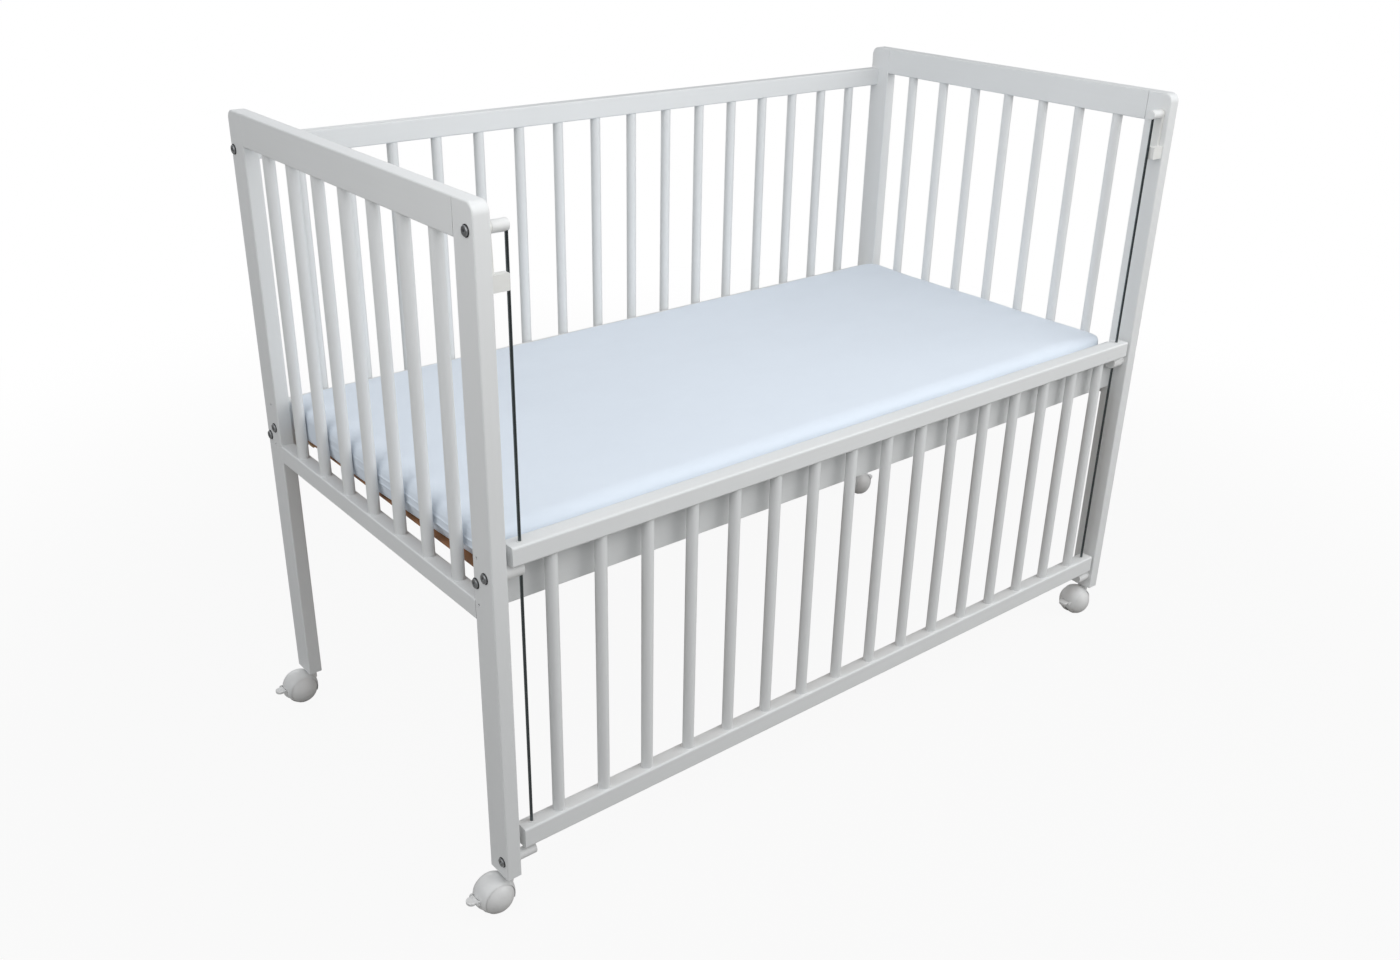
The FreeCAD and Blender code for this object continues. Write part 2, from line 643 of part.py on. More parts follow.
# ---- catches ----
def catch(label):
    """An eye on the head peg's boss, a tapering arm and the block under the rail."""
    body = new_body(label)
    arm = sketch_on(body, "XZ_Plane")
    draw_outline(arm, [("catch_gap", "0"), ("catch_gap + catch_top_thick", "0"),
                       ("catch_gap + catch_low_thick", "-ledge_drop"),
                       ("catch_gap + catch_low_thick", "-ledge_drop - ledge_block"),
                       ("catch_gap", "-ledge_drop - ledge_block")])
    pad(body, arm, "catch_arm_wide", both_ways=True)
    block = sketch_on(body, "XY_Plane", "-ledge_drop")
    draw_outline(block, [("catch_gap", "-ledge_front"), ("catch_gap + ledge_reach", "-ledge_front"),
                         ("catch_gap + ledge_reach", "block_deep - ledge_front"),
                         ("catch_gap", "block_deep - ledge_front")])
    pad(body, block, "ledge_block", reverse=True)
    eye = sketch_on(body, "YZ_Plane", "catch_gap")
    draw_circle(eye, "catch_eye_dia")
    pad(body, eye, "boss_long - 2 * catch_gap")
    bore = sketch_on(body, "YZ_Plane")
    draw_circle(bore, "boss_dia + 2 * catch_fit")
    pocket(body, bore, "2 * peg_long", both_ways=True)
    reach = sheet_value("catch_gap + ledge_reach")
    soften(body, "catch_round", lambda edge: edge.CenterOfMass.x > reach - 1)
    return place(body, f"-{inner_x}", "-width / 2 + head_peg_back", f"caster_height + {head_lift}")


keep_pair(catch("left_catch"), "right_catch")

# ---- drop side ----
drop_long = f"({clear_long} - 2 * drop_end_gap)"
bush_dia = "(rod_dia + 2 * bush_fit + 2 * bush_wall)"
drop_y = "(-width / 2 + drop_deep / 2)"
drop_top = "(caster_height + drop_foot_lift + drop_tall)"


def drop_rail(label, tall, middle, level, from_above):
    """A rail of the drop side, bored near its ends for the rod bushes."""
    rail = bar(label, 0, drop_long, "drop_deep", tall, "drop_round")
    drill_row(rail, 0, level, from_above, side_pitch, "side_spindles")
    bores = sketch_on(rail, "XY_Plane")
    for side in "+-":
        draw_circle(bores, f"{bush_dia} + 2 * bush_play", f"{side}{rod_x}")
    pocket(rail, bores, f"2 * ({tall})", both_ways=True)
    return place(rail, "0", drop_y, middle)


keep(drop_rail("drop_top_rail", "drop_top_tall", f"{drop_top} - drop_top_tall / 2",
               "-drop_top_tall / 2", False))
keep(drop_rail("drop_bottom_rail", "drop_bottom_tall",
               f"{drop_top} - drop_tall + drop_bottom_tall / 2", "drop_bottom_tall / 2", True))
drop_spindle = spindle("drop_spindle", drop_span)
drop_middle = f"{drop_top} - drop_top_tall - {drop_span} / 2"
drop_spots = [(step, drop_y, drop_middle) for step in row_steps("side_spindles", side_pitch)]
keep(group("drop_spindles", copies_of(drop_spindle, drop_spots)))


def bush(label, tall, top):
    """A flanged sleeve for the rod, its flange on top of the rail."""
    sleeve = cylinder(label + "_sleeve", bush_dia, tall)
    flange = cylinder(label + "_flange", f"{bush_dia} + 2 * bush_flange", "bush_flange_thick",
                      ("0", "0", tall))
    bore = cylinder(label + "_bore", "rod_dia + 2 * bush_fit", "drop_tall", ("0", "0", "-drop_tall / 2"))
    piece = cut(label, fuse(label + "_body", [sleeve, flange]), [bore])
    return place(piece, f"-{rod_x}", drop_y, f"{top} - ({tall})")


left_bushes = group("left_rod_bushes", [
    bush("top_rail_bush", "drop_top_tall", drop_top),
    bush("bottom_rail_bush", "drop_bottom_tall", f"{drop_top} - drop_tall + drop_bottom_tall")])
keep(group("rod_bushes", [left_bushes, mirrored("right_rod_bushes", left_bushes)]))


# ---- bolts, washers, barrel nuts and pins ----
def socket_bolt(label, long):
    """A bolt along +X whose washer seat is at its origin."""
    body = new_body(label)
    shank = sketch_on(body, "YZ_Plane")
    draw_circle(shank, "bolt_dia")
    pad(body, shank, f"{long} + washer_thick")
    head = sketch_on(body, "YZ_Plane")
    draw_circle(head, "head_dia")
    pad(body, head, "head_tall", reverse=True)
    soften(body, "head_round", lambda edge: is_round(edge) and edge.CenterOfMass.x < -1)
    key = sketch_on(body, "YZ_Plane", "-head_tall")
    corners = [("key_wide / 2", "key_wide / sqrt(12)"), ("0", "key_wide / sqrt(3)"),
               ("-key_wide / 2", "key_wide / sqrt(12)"), ("-key_wide / 2", "-key_wide / sqrt(12)"),
               ("0", "-key_wide / sqrt(3)"), ("key_wide / 2", "-key_wide / sqrt(12)")]
    draw_outline(key, corners)
    pocket(body, key, "key_deep", reverse=True)
    return body


def both_ends(label, left_group):
    return keep(group(label, [left_group, mirrored(label + "_right", left_group)]))


def spots_on_post(holes, outward, x):
    inward = "+" if outward == "-" else "-"
    return [(x, f"{outward}width / 2 {inward} ({back})", f"caster_height + {lift}")
            for back, lift in holes]


peg_bolt = socket_bolt("peg_bolt", "peg_bolt_long")
rail_bolt = socket_bolt("rail_bolt", "rail_bolt_long")
bolt_x = "-length / 2 - washer_thick"
rail_holes_front = front_holes[3:]
rail_spots = spots_on_post(rail_holes_front, "-", bolt_x) + spots_on_post(rear_holes, "+", bolt_x)
both_ends("peg_bolts", group("left_peg_bolts",
                             copies_of(peg_bolt, spots_on_post(front_holes[:3], "-", bolt_x))))
both_ends("rail_bolts", group("left_rail_bolts", copies_of(rail_bolt, rail_spots)))

washer = cut("washer", cylinder("washer_disc", "washer_dia", "washer_thick", axis="x"),
             [cylinder("washer_hole", "bolt_dia + 2 * bolt_play", "washer_thick", axis="x")])
washer_spots = spots_on_post(front_holes, "-", bolt_x) + spots_on_post(rear_holes, "+", bolt_x)
both_ends("bolt_washers", group("left_washers", copies_of(washer, washer_spots)))

nut = cut("barrel_nut", cylinder("nut_barrel", "nut_dia", "nut_long", ("0", "-nut_long / 2", "0"), "y"),
          [cylinder("nut_bore", "bolt_dia + 2 * rod_fit", "2 * nut_dia", ("-nut_dia", "0", "0"), "x")])
nut_x = f"-{clear_long} / 2 + nut_inset"
nut_spots = spots_on_post(rail_holes_front, "-", nut_x) + spots_on_post(rear_holes, "+", nut_x)
both_ends("barrel_nuts", group("left_nuts", copies_of(nut, nut_spots)))

pin = cylinder("board_pin", "pin_dia", "pin_long", axis="x")
pin_x = "-length / 2 + pin_sunk"
pin_places = spots_on_post(front_pins, "-", pin_x) + spots_on_post(rear_pins, "+", pin_x)
both_ends("side_board_pins", group("left_pins", copies_of(pin, pin_places)))

# ---- casters ----
# Each piece is drawn once with the swivel axis at x = y = 0, the floor at z = 0 and the
# wheels trailing towards -X.
ball_spot = ("-wheel_trail", "0", "wheel_dia / 2")
lever_spot = ("-wheel_trail - lever_axis_out", "0", "wheel_dia / 2 + lever_rise")
cap_inner = "(web_half + wheel_side_gap)"


def across_caster(name, dia, inner, outer, spot):
    """Two short cylinders along Y, mirror images of each other about y = 0."""
    near = cylinder(name + "_near", dia, f"({outer}) - ({inner})", (spot[0], inner, spot[2]), "y")
    far = cylinder(name + "_far", dia, f"({outer}) - ({inner})", (spot[0], f"-({outer})", spot[2]), "y")
    return [near, far]


def caster_hood():
    """A ball-shaped cover, open at both sides, with a web, a swivel boss and two ears."""
    ball = sphere("hood_ball_outside", "hood_ball", ball_spot)
    skirt = box("hood_above_skirt", ("4 * hood_ball", "4 * hood_ball", "2 * hood_ball"),
                ("-wheel_trail - 2 * hood_ball", "-2 * hood_ball", "skirt_lift"))
    shell = common("hood_shell", [ball, skirt])
    boss = cylinder("swivel_boss", "swivel_boss_dia", f"{boss_top} - wheel_dia / 2 - wheel_trail / 2",
                    ("0", "0", "wheel_dia / 2 + wheel_trail / 2"))
    ears = across_caster("lever_ear", "ear_dia", "lever_half + lever_gap",
                         "lever_half + lever_gap + ear_thick", lever_spot)
    outside = fuse("hood_outside", [shell, boss, *ears])
    inside = sphere("hood_ball_inside", "hood_ball - hood_wall", ball_spot)
    web = box("hood_web", ("4 * hood_ball", "2 * web_half", "4 * hood_ball"),
              ("-wheel_trail - 2 * hood_ball", "-web_half", "-hood_ball"))
    wheel_room = cut("wheel_room", inside, [web])
    side_rooms = across_caster("side_room", "cap_dia + 2 * cap_gap", "web_half", "2 * hood_ball", ball_spot)
    window_half = "(lever_barrel_dia / 2 + lever_gap)"
    window = box("lever_window", ("window_deep", "2 * (lever_half + lever_gap)", f"2 * {window_half}"),
                 ("-wheel_trail - hood_ball - 1", "-lever_half - lever_gap",
                  f"{lever_spot[2]} - {window_half}"))
    stem_bore = cylinder("boss_bore", "stem_dia + 2 * axle_fit", "hood_ball",
                         ("0", "0", f"{boss_top} - stem_seat"))
    axle_bore = cylinder("web_bore", "axle_dia + 2 * axle_fit", "4 * web_half",
                         (ball_spot[0], "-2 * web_half", ball_spot[2]), "y")
    trunnion_bore = cylinder("ear_bore", "trunnion_dia + 2 * axle_fit", "4 * lever_half",
                             (lever_spot[0], "-2 * lever_half", lever_spot[2]), "y")
    return cut("caster_hood", outside, [wheel_room, *side_rooms, window, stem_bore, axle_bore,
                                        trunnion_bore])


def caster_wheels():
    """Two wheels, one on each side of the web, whose domed caps fill the hood's side openings."""
    discs = across_caster("wheel_disc", "wheel_dia", cap_inner, "wheel_half_span", ball_spot)
    treads = common("wheel_treads", [fuse("wheel_discs", discs),
                                     sphere("wheel_dome", wheel_ball, ball_spot)])
    cap_discs = across_caster("cap_disc", "cap_dia", cap_inner, "hood_ball", ball_spot)
    caps = common("wheel_caps", [fuse("cap_discs", cap_discs),
                                 sphere("cap_dome", "hood_ball - cap_sunk", ball_spot)])
    bores = across_caster("wheel_bore", "axle_dia + 2 * axle_fit", "0",
                          "wheel_half_span - axle_short + axle_fit", ball_spot)
    return cut("caster_wheels", fuse("wheel_pair", [treads, caps]), bores)


def caster_lever():
    """A barrel on two trunnions with a foot tab behind it."""
    body = new_body("caster_lever")
    reach = "-lever_barrel_dia / 2 - lever_reach"
    tab = sketch_on(body, "XY_Plane")
    draw_outline(tab, [("0", "-lever_half"), ("0", "lever_half"), (reach, "lever_half"),
                       (reach, "-lever_half")])
    pad(body, tab, "lever_thick", both_ways=True)
    far = sheet_value(reach) + 0.01
    soften(body, "lever_round", lambda edge: edge.CenterOfMass.x < far and abs(edge.CenterOfMass.z) < 0.01)
    soften(body, "lever_edge", lambda edge: edge.CenterOfMass.x < -0.01)
    barrel = sketch_on(body, "XZ_Plane")
    draw_circle(barrel, "lever_barrel_dia")
    pad(body, barrel, "2 * lever_half", both_ways=True)
    trunnions = sketch_on(body, "XZ_Plane")
    draw_circle(trunnions, "trunnion_dia")
    pad(body, trunnions, "2 * (lever_half + trunnion_long)", both_ways=True)
    return body


axle_spot = (ball_spot[0], "-wheel_half_span + axle_short", ball_spot[2])
stem_spot = ("0", "0", f"{boss_top} - stem_seat")
no_shift = ("0", "0", "0")
axle = cylinder("caster_axle", "axle_dia", "2 * (wheel_half_span - axle_short)", axis="y")
stem = cylinder("caster_stem", "stem_dia", f"caster_height + stem_in_leg - {boss_top} + stem_seat")
caster_pieces = {"hood": (caster_hood(), no_shift), "wheels": (caster_wheels(), no_shift),
                 "brake_lever": (caster_lever(), lever_spot), "axle": (axle, axle_spot),
                 "stem": (stem, stem_spot)}


def shifted_copy(source, x, y, step):
    """A copy whose swivel axis stands at x, y."""
    return copies_of(source, [(f"{x} + ({step[0]})", f"{y} + ({step[1]})", step[2])])


# the rear right caster trails the other way, as the mirror of the rear left one
for name, (source, step) in caster_pieces.items():
    for corner, x, y in (("left_front", f"-{post_x}", f"-{post_y}"),
                         ("right_front", post_x, f"-{post_y}")):
        keep(group(f"{corner}_caster_{name}", shifted_copy(source, x, y, step)))
    left_rear = group(f"left_rear_caster_{name}", shifted_copy(source, f"-{post_x}", post_y, step))
    keep_pair(left_rear, f"right_rear_caster_{name}")

socket = cut("leg_socket", fuse("leg_socket_body", [
    cylinder("socket_sleeve", "socket_dia", "socket_long", ("0", "0", "caster_height")),
    cylinder("socket_rim", "socket_flange_dia", "socket_flange",
             ("0", "0", "caster_height - socket_flange"))]),
    [cylinder("socket_bore", "stem_dia + 2 * stem_fit", "2 * caster_height")])
socket_spots = [(f"-{post_x}", f"{row}{post_y}", "0") for row in "-+"]
both_ends("caster_sockets", group("left_sockets", copies_of(socket, socket_spots)))

# ---- checks, then one file for each piece ----
doc.recompute()
for item in doc.Objects:
    if "Invalid" in item.State or "Error" in item.State:
        raise ValueError(f"{item.Label} has failed")
for piece in nodes:
    if piece.Shape.isNull() or not piece.Shape.isValid():
        raise ValueError(f"{piece.Label} has no valid shape")
for piece in nodes:
    piece.Shape.exportStep(f"parts/{piece.Label}.step")
print(len(nodes), "pieces written")
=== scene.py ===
import math
import bmesh
import bpy
from mathutils import Matrix, Vector, noise


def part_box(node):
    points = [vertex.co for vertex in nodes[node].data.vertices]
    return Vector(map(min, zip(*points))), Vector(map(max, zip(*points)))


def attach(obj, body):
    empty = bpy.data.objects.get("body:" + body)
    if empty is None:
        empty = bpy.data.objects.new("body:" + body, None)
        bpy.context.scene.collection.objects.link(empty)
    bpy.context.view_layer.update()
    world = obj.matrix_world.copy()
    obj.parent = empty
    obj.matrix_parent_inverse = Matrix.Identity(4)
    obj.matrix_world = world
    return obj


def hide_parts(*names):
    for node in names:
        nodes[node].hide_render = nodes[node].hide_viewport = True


# Bedside cot: painted spindle frame, drop side on steel rods, foam mattress, braked casters.
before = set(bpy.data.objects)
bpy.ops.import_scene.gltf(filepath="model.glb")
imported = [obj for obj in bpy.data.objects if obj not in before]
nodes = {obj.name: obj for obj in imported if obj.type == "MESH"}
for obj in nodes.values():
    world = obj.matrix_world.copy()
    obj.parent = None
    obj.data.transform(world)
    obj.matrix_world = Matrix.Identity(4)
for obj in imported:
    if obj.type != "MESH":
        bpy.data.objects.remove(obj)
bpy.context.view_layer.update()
print("frame loaded:", len(nodes), "nodes")


# shader helpers: a socket that can be used in Python expressions, and one method for nodes
class Wire:
    def __init__(self, recipe, socket):
        self.recipe = recipe
        self.socket = socket

    def math(self, operation, first, second):
        return self.recipe.node("ShaderNodeMath", {"operation": operation}, {0: first, 1: second})

    def __add__(self, other):
        return self.math("ADD", self, other)

    def __radd__(self, other):
        return self.math("ADD", other, self)

    def __sub__(self, other):
        return self.math("SUBTRACT", self, other)

    def __rsub__(self, other):
        return self.math("SUBTRACT", other, self)

    def __mul__(self, other):
        return self.math("MULTIPLY", self, other)

    def __rmul__(self, other):
        return self.math("MULTIPLY", other, self)


class Recipe:
    def __init__(self, name):
        self.material = bpy.data.materials.new(name)
        self.material.use_nodes = True
        self.tree = self.material.node_tree
        self.shader = self.tree.nodes["Principled BSDF"]
        self.place = self.node("ShaderNodeTexCoord", {}, {}, "Object")

    def node(self, kind, settings, inputs, output=0):
        made = self.tree.nodes.new(kind)
        for setting, value in settings.items():
            setattr(made, setting, value)
        for key, value in inputs.items():
            self.feed(made.inputs[key], value)
        return Wire(self, made.outputs[output])

    def feed(self, socket, value):
        if isinstance(value, Wire):
            self.tree.links.new(value.socket, socket)
        elif isinstance(value, (tuple, list)) and len(socket.default_value) == 4:
            socket.default_value = (*value, 1)
        else:
            socket.default_value = value

    def spread(self, size):
        # Object coordinates counted in steps of size metres
        scale = tuple(1 / each for each in size)
        return self.node("ShaderNodeMapping", {}, {"Vector": self.place, "Scale": scale})

    def cloud(self, size, detail=2, rough=0.5):
        # noise whose blobs are about size metres along X, Y and Z
        return self.node("ShaderNodeTexNoise", {},
                         {"Vector": self.spread(size), "Scale": 1.0, "Detail": detail,
                          "Roughness": rough})

    def between(self, factor, low, high):
        # a number that runs from low to high as factor runs from 0 to 1
        return factor * (high - low) + low

    def tint(self, factor, first, second):
        # RGBA mix: sockets 6 and 7 are the colours, and output 2 the result
        sockets = {0: factor, 6: first, 7: second}
        return self.node("ShaderNodeMix", {"data_type": "RGBA"}, sockets, 2)

    def bump(self, height, strength, distance):
        return self.node("ShaderNodeBump", {}, {"Height": height, "Strength": strength,
                                                "Distance": distance})

    def finish(self, **inputs):
        for key, value in inputs.items():
            self.feed(self.shader.inputs[key.replace("_", " ")], value)
        return self.material


def step(wire, low, high):
    # 0 below low and 1 above high
    return wire.recipe.node("ShaderNodeMapRange", {"interpolation_type": "SMOOTHSTEP"},
                            {"Value": wire, "From Min": low, "From Max": high})


# materials
paintLook = {"light": (0.80, 0.81, 0.81), "dark": (0.75, 0.76, 0.755), "grainLong": 0.16,
             "grainFine": 0.0016, "brushFine": 0.0007}


def whitePaint(name, grain):
    # sprayed paint over beech: the grain and the brushing run along axis 0, 1 or 2
    look = paintLook
    recipe = Recipe(name)
    grainSize = [look["grainFine"] * 3] * 3
    grainSize[grain] = look["grainLong"]
    brushSize = [look["brushFine"]] * 3
    brushSize[grain] = look["grainLong"] / 3
    grainCloud = recipe.cloud(grainSize, 3)
    brushCloud = recipe.cloud(brushSize, 1)
    pores = step(recipe.cloud([each / 2 for each in grainSize], 1), 0.62, 0.75)
    peel = recipe.cloud((0.0018, 0.0018, 0.0018), 1)
    patches = recipe.cloud((0.12, 0.12, 0.12), 3)
    colour = recipe.tint(patches * 0.6 + grainCloud * 0.4, look["dark"], look["light"])
    shade = recipe.between(patches, 0.38, 0.52) + brushCloud * 0.05
    height = grainCloud * 0.35 + brushCloud * 0.12 + peel * 0.35 - pores * 0.4
    return recipe.finish(Base_Color=colour, Roughness=shade, Specular_IOR_Level=0.42,
                         Normal=recipe.bump(height, 0.16, 0.0004))


hardboardLook = {"light": (0.42, 0.205, 0.095), "dark": (0.26, 0.115, 0.052)}


def brownHardboard():
    recipe = Recipe("brownHardboard")
    fibres = recipe.cloud((0.0022, 0.0012, 0.002), 4, 0.7)
    patches = recipe.cloud((0.09, 0.07, 0.09), 3)
    mixed = fibres * 0.7 + patches * 0.3
    colour = recipe.tint(mixed, hardboardLook["dark"], hardboardLook["light"])
    return recipe.finish(Base_Color=colour, Roughness=recipe.between(fibres, 0.5, 0.72),
                         Normal=recipe.bump(fibres, 0.25, 0.0003))


pineLook = {"light": (0.66, 0.46, 0.25), "dark": (0.47, 0.28, 0.13), "ring": 0.011}


def barePine(name, grain):
    recipe = Recipe(name)
    size = [pineLook["ring"]] * 3
    size[grain] = 0.5
    wander = recipe.cloud([each * 3 for each in size], 2)
    rings = recipe.node("ShaderNodeTexWave", {"wave_type": "BANDS", "bands_direction": "DIAGONAL"},
                        {"Vector": recipe.spread(size), "Scale": 0.5, "Distortion": 3.5,
                         "Detail": 2.0, "Detail Scale": 0.6})
    fibreSize = [0.0009] * 3
    fibreSize[grain] = 0.06
    fibres = recipe.cloud(fibreSize, 2)
    mixed = rings * 0.55 + fibres * 0.25 + wander * 0.2
    colour = recipe.tint(mixed, pineLook["light"], pineLook["dark"])
    return recipe.finish(Base_Color=colour, Roughness=recipe.between(fibres, 0.55, 0.75),
                         Normal=recipe.bump(fibres + rings * 0.3, 0.2, 0.0003))


def metal(name, dark, light, rough, grainSize):
    # a drawn or plated metal; grainSize is the scale of its streaks
    recipe = Recipe(name)
    streaks = recipe.cloud(grainSize, 3)
    stains = recipe.cloud((0.03, 0.03, 0.05), 3)
    colour = recipe.tint(streaks * 0.5 + stains * 0.5, dark, light)
    shade = recipe.between(streaks * 0.6 + stains * 0.4, rough - 0.08, rough + 0.12)
    return recipe.finish(Base_Color=colour, Metallic=1.0, Roughness=shade,
                         Normal=recipe.bump(streaks, 0.2, 0.00008))


def mouldedPlastic(name, dark, light, rough):
    # fine spark-eroded texture with faint flow marks
    recipe = Recipe(name)
    texture = recipe.cloud((0.0009, 0.0009, 0.0009), 2)
    flow = recipe.cloud((0.02, 0.03, 0.012), 3)
    shade = recipe.between(texture * 0.5 + flow * 0.5, rough - 0.07, rough + 0.09)
    return recipe.finish(Base_Color=recipe.tint(flow, dark, light), Roughness=shade,
                         Specular_IOR_Level=0.45, Normal=recipe.bump(texture, 0.18, 0.00012))


coverLook = {"light": (0.77, 0.84, 0.92), "dark": (0.72, 0.785, 0.865), "thread": 0.0011}


def mattressCloth(name):
    # a close woven cover: crossing threads, slubs and soft creases
    recipe = Recipe(name)
    thread = coverLook["thread"]
    weaves = []
    for direction in ("X", "Y"):
        weaves.append(recipe.node("ShaderNodeTexWave", {"bands_direction": direction},
                                  {"Vector": recipe.spread((thread, thread, thread)),
                                   "Scale": 0.314, "Distortion": 0.6, "Detail": 1.0}))
    slubs = recipe.cloud((0.012, 0.0022, 0.01), 2)
    creases = recipe.cloud((0.09, 0.055, 0.03), 4, 0.55)
    # cover tone: painted shade, darker in the hollows of the soft creases, plus lighter and darker
    # slubs
    colour = recipe.tint(creases * 0.65 + slubs * 0.35, coverLook["dark"], coverLook["light"])
    height = weaves[0] * weaves[1] * 0.5 + slubs * 0.35 + creases * 1.6
    return recipe.finish(Base_Color=colour, Roughness=recipe.between(slubs, 0.82, 0.95),
                         Sheen_Weight=0.25, Sheen_Roughness=0.6, Specular_IOR_Level=0.2,
                         Normal=recipe.bump(height, 0.35, 0.0008))


paintAlong = [whitePaint("paintAlong" + axis, number) for number, axis in enumerate("XYZ")]
hardboard = brownHardboard()
pineAlong = [barePine("pineAlongX", 0), barePine("pineAlongY", 1)]
rodSteel = metal("drawnRodSteel", (0.08, 0.095, 0.10), (0.15, 0.17, 0.175), 0.24,
                 (0.0006, 0.0006, 0.08))
zincPlate = metal("zincPlate", (0.33, 0.34, 0.35), (0.48, 0.49, 0.495), 0.32,
                  (0.0016, 0.0016, 0.0016))
# near-black washers: partly their black finish, partly painted shade for the dark gap round each
# bolt head
washerBlackAndShade = mouldedPlastic("washerBlackAndShade", (0.012, 0.012, 0.013), (0.024, 0.024, 0.026), 0.5)
pegPlastic = mouldedPlastic("pegPlastic", (0.74, 0.745, 0.74), (0.80, 0.80, 0.79), 0.42)
catchPlastic = mouldedPlastic("catchPlastic", (0.75, 0.75, 0.725), (0.81, 0.81, 0.785), 0.45)
hoodPlastic = mouldedPlastic("hoodPlastic", (0.72, 0.725, 0.72), (0.78, 0.78, 0.77), 0.36)
wheelPlastic = mouldedPlastic("wheelPlastic", (0.68, 0.68, 0.67), (0.75, 0.745, 0.735), 0.34)
coverCloth = mattressCloth("coverCloth")


def finishFor(name):
    # the finish of each carried-over node, by the part of its name that says what it is
    if name == "base_panel":
        return hardboard
    if name in ("bed_slats", "panel_dowels"):
        return pineAlong[1]
    if name in ("front_ledge", "rear_ledge"):
        return pineAlong[0]
    if name.endswith("guide_rod"):
        return rodSteel
    if name == "bolt_washers":
        return washerBlackAndShade
    if any(word in name for word in ("bolts", "nuts", "pins", "sockets", "axle", "stem")):
        return zincPlate
    if "wheels" in name:
        return wheelPlastic
    if "caster" in name:
        return hoodPlastic
    if "peg" in name or name == "rod_bushes":
        return pegPlastic
    if "catch" in name:
        return catchPlastic
    if "spindles" in name or "post" in name:
        return paintAlong[2]
    if name in ("left_top_rail", "right_top_rail", "left_bottom_rail", "right_bottom_rail"):
        return paintAlong[1]
    return paintAlong[0]


for nodeName, part in nodes.items():
    part.data.materials.clear()
    part.data.materials.append(finishFor(nodeName))
print("finishes given to the carried-over nodes")


# mattress: a foam slab in a piped cover
mattressSize = {"topRound": 0.007, "lowRound": 0.003, "cornerRound": 0.024, "cornerSteps": 8,
                "rimSteps": 4, "voxel": 0.006, "shrink": 0.001,
                "pressure": 2.5, "quality": 4, "frames": 9, "cap": 0.002, "smoothing": 3,
                "pullIn": 0.0015, "crown": 0.002, "crownFrom": 0.03, "crownOver": 0.02,
                "crownPower": 0.35, "wrinkle": 0.0009, "crease": 0.0004, "sideWrinkle": 1.2,
                "lowFill": 0.007, "lowBand": 0.012,
                "pipingLow": 0.0237, "pipingHigh": 0.0347, "pipingOut": 0.0013,
                "pipingWide": 0.0014, "pipingLoops": 3, "loopGap": 0.6,
                "tuckLong": 0.017, "tuckTall": 0.024, "tuckFront": 0.05, "tuckBack": 0.38,
                "overhang": 0.0035, "sag": 0.003}


def newPiece(name, mesh, material):
    made = bpy.data.objects.new(name, mesh)
    bpy.context.scene.collection.objects.link(made)
    mesh.materials.clear()
    mesh.materials.append(material)
    for face in mesh.polygons:
        face.use_smooth = True
    return made


def applied(piece):
    # the piece with its modifiers made real
    graph = bpy.context.evaluated_depsgraph_get()
    mesh = bpy.data.meshes.new_from_object(piece.evaluated_get(graph))
    piece.modifiers.clear()
    old = piece.data
    piece.data = mesh
    bpy.data.meshes.remove(old)
    return piece


def slabMesh(low, high, size):
    shape = bmesh.new()
    bmesh.ops.create_cube(shape, size=1.0)
    middle = (low + high) / 2
    extent = high - low
    bmesh.ops.scale(shape, vec=extent, verts=shape.verts)
    bmesh.ops.translate(shape, vec=middle, verts=shape.verts)
    upright = [edge for edge in shape.edges
               if abs((edge.verts[0].co - edge.verts[1].co).normalized().z) > 0.9]
    bmesh.ops.bevel(shape, geom=upright, offset=size["cornerRound"],
                    segments=size["cornerSteps"], profile=0.5, affect="EDGES", material=-1)
    for level, radius in ((high.z, size["topRound"]), (low.z, size["lowRound"])):
        rims = [edge for edge in shape.edges
                if all(abs(corner.co.z - level) < 1e-6 for corner in edge.verts)
                and abs(edge.link_faces[0].normal.z - edge.link_faces[1].normal.z) > 0.5]
        bmesh.ops.bevel(shape, geom=rims, offset=radius, segments=size["rimSteps"], profile=0.5,
                        affect="EDGES", material=-1)
    mesh = bpy.data.meshes.new("mattressCover")
    shape.to_mesh(mesh)
    shape.free()
    return mesh


def inflate(piece, size):
    # light pressure under the cover, each point held near its place
    before = [vertex.co.copy() for vertex in piece.data.vertices]
    cloth = piece.modifiers.new("cover", "CLOTH")
    cloth.settings.use_pressure = True
    cloth.settings.uniform_pressure_force = size["pressure"]
    cloth.settings.effector_weights.gravity = 0
    cloth.settings.quality = size["quality"]
    scene = bpy.context.scene
    for number in range(1, size["frames"] + 1):
        scene.frame_set(number)
    applied(piece)
    scene.frame_set(1)
    for vertex, start in zip(piece.data.vertices, before):
        move = vertex.co - start
        if move.length > size["cap"]:
            vertex.co = start + move.normalized() * size["cap"]


def buildMattress():
    size = mattressSize
    low, high = (Vector(corner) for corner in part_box("mattress"))
    inset = Vector((size["shrink"], size["shrink"], size["shrink"]))
    piece = newPiece("mattress_cover", slabMesh(low + inset, high - inset, size), coverCloth)
    remesh = piece.modifiers.new("remesh", "REMESH")
    remesh.mode = "VOXEL"
    remesh.voxel_size = size["voxel"]
    applied(piece)
    inflate(piece, size)
    shape = bmesh.new()
    shape.from_mesh(piece.data)
    for _ in range(size["smoothing"]):
        bmesh.ops.smooth_vert(shape, verts=shape.verts, factor=0.5, use_axis_x=True,
                              use_axis_y=True, use_axis_z=True)
    # fine loops where the two pipings run round
    for piping in (size["pipingLow"], size["pipingHigh"]):
        for rise in range(-size["pipingLoops"], size["pipingLoops"] + 1):
            level = low.z + piping + rise * size["pipingWide"] * size["loopGap"]
            bmesh.ops.bisect_plane(shape, geom=[*shape.verts, *shape.edges, *shape.faces],
                                   plane_co=(0, 0, level), plane_no=(0, 0, 1), dist=1e-5)
    shapeCover(shape, low, high, size)
    shape.to_mesh(piece.data)
    shape.free()
    for face in piece.data.polygons:
        face.use_smooth = True
    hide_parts("mattress")
    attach(piece, "frame")
    return piece


